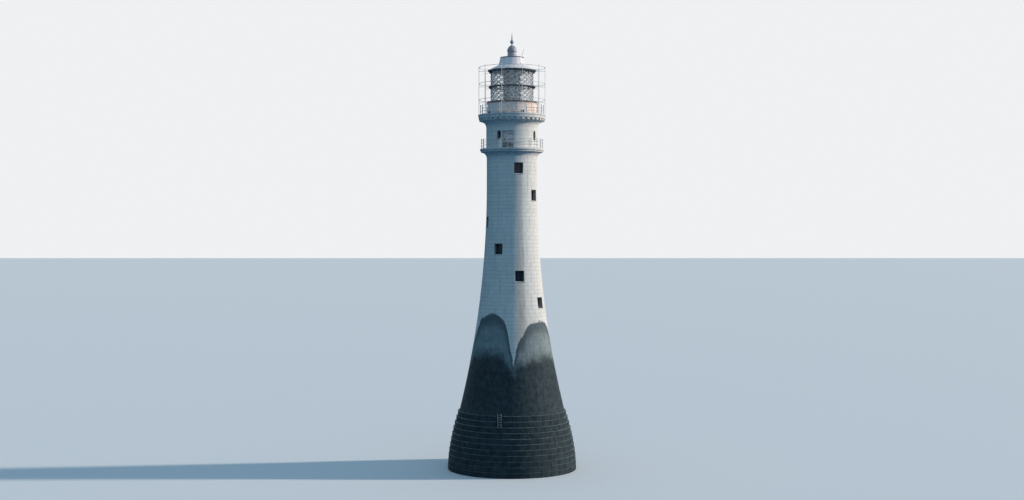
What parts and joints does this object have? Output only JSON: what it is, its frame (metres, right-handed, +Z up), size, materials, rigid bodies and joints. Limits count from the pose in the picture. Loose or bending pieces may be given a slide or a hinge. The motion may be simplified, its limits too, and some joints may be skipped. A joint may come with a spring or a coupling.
{
  "type": "lighthouse, 1:2 scale model of an offshore granite tower",
  "caption": "Offshore granite lighthouse with stepped foot, curved hollow shaft, two stone galleries, diamond-glazed lantern, tube staging and a turning optic; half real size.",
  "frame": {"origin": "centre of the underside of the lowest stepped course, on the tower's axis", "axes": "+Z up along the tower's axis; -Y is the side that the picture shows, +X to its right"},
  "size_m": [7.9498, 7.9498, 27],
  "materials": {
    "granite": "dressed, weathered",
    "wet_granite": "rough, sea-worn",
    "floor_stone": "dressed",
    "window_metal": "satin",
    "window_glass": "clear",
    "door_bronze": "weathered",
    "door_paint": "satin",
    "rung_metal": "weathered",
    "rail_paint": "satin",
    "staging_steel": "galvanized",
    "foot_wall_paint": "rust-stained",
    "lantern_metal": "satin",
    "lantern_glass": "clear",
    "roof_paint": "satin",
    "optic_metal": "painted",
    "lens_glass": "clear"
  },
  "bodies": {
    "tower": {"stepped_base": "wet_granite", "solid_shaft": "granite", "entrance_storey_wall": "granite", "storey_2_wall": "granite", "storey_3_wall": "granite", "storey_4_wall": "granite", "storey_5_wall": "granite", "storey_6_wall": "granite", "storey_floors": "floor_stone", "lower_gallery_cornice": "granite", "lower_gallery_deck": "granite", "service_room_floor": "floor_stone", "service_room_wall": "granite", "upper_gallery_cornice": "granite", "upper_gallery_deck": "granite", "lantern_floor": "floor_stone", "window_frames": "window_metal", "window_panes": "window_glass", "entrance_door": "door_bronze", "gallery_door": "door_paint", "lantern_door": "door_paint", "landing_ladder": "rung_metal", "entrance_rungs": "rung_metal", "lower_gallery_stanchions": "rail_paint", "lower_gallery_rails": "rail_paint", "upper_gallery_stanchions": "rail_paint", "upper_gallery_rails": "rail_paint", "lantern_foot_wall": "foot_wall_paint", "lantern_sill_ring": "lantern_metal", "lower_glazing_bars": "lantern_metal", "lower_glazing_glass": "lantern_glass", "middle_service_ring": "lantern_metal", "upper_glazing_bars": "lantern_metal", "upper_glazing_glass": "lantern_glass", "eaves_ring": "lantern_metal", "roof_skirt": "roof_paint", "roof_drum": "roof_paint", "roof_cover_plate": "lantern_metal", "roof_rod": "lantern_metal", "ventilator": "roof_paint", "finial": "lantern_metal", "optic_pedestal": "optic_metal", "staging_poles": "staging_steel", "staging_rails": "staging_steel", "staging_ties": "staging_steel"},
    "optic": {"optic_turntable": "optic_metal", "lower_lens": "lens_glass", "upper_lens": "lens_glass"}
  },
  "joints": [
    {"name": "optic_turn", "type": "hinge", "parent": "tower", "child": "optic", "pos_m": [0, 0, 22.6], "axis": [0, 0, 1], "continuous": true}
  ]
}
